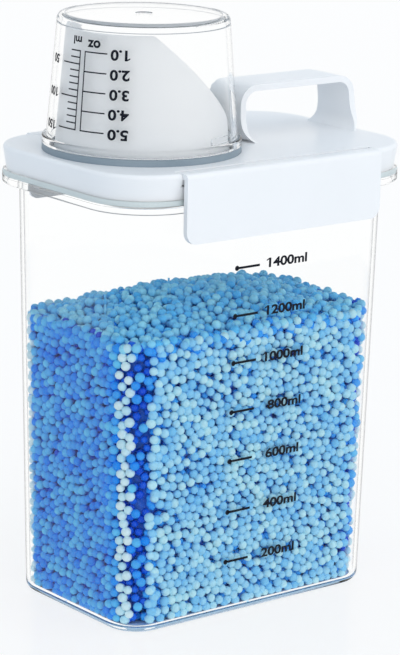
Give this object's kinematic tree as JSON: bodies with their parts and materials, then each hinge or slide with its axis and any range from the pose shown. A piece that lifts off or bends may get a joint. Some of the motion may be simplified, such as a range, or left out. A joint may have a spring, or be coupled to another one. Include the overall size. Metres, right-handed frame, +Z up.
{
  "type": "laundry bead container with pouring lid and measuring cup",
  "caption": "Clear tapered laundry container with a white latched lid, carry handle, pouring spout under a clear measuring cup, and blue scent beads inside.",
  "frame": {"origin": "centre of the bounding box in plan, at the underside of the base", "axes": "+X along the length towards the handle, with the cup and spout at -X; -Y is the face with the volume scale; +Z up"},
  "size_m": [0.1476, 0.1066, 0.239],
  "materials": {
    "clear_plastic": "clear and glossy",
    "white_plastic": "satin white",
    "grey_silicone": "soft matt",
    "blue_beads": "waxy"
  },
  "bodies": {
    "container": {"container_body": "clear_plastic", "lid": "white_plastic", "lid_gasket": "grey_silicone", "cup_seal_ring": "grey_silicone", "scent_beads": "blue_beads"},
    "cup": {"measuring_cup": "clear_plastic"},
    "front_latch": {"front_latch": "white_plastic"},
    "rear_latch": {"rear_latch": "white_plastic"}
  },
  "joints": [
    {"name": "cup_lift", "type": "slide", "parent": "container", "child": "cup", "axis": [0, 0, 1], "range_m": [0, 0.08]},
    {"name": "front_latch_hinge", "type": "hinge", "parent": "container", "child": "front_latch", "pos_m": [0, -0.0475, 0.183], "axis": [-1, 0, 0], "range_deg": [0, 90]},
    {"name": "rear_latch_hinge", "type": "hinge", "parent": "container", "child": "rear_latch", "pos_m": [0, 0.0475, 0.183], "axis": [1, 0, 0], "range_deg": [0, 90]}
  ]
}
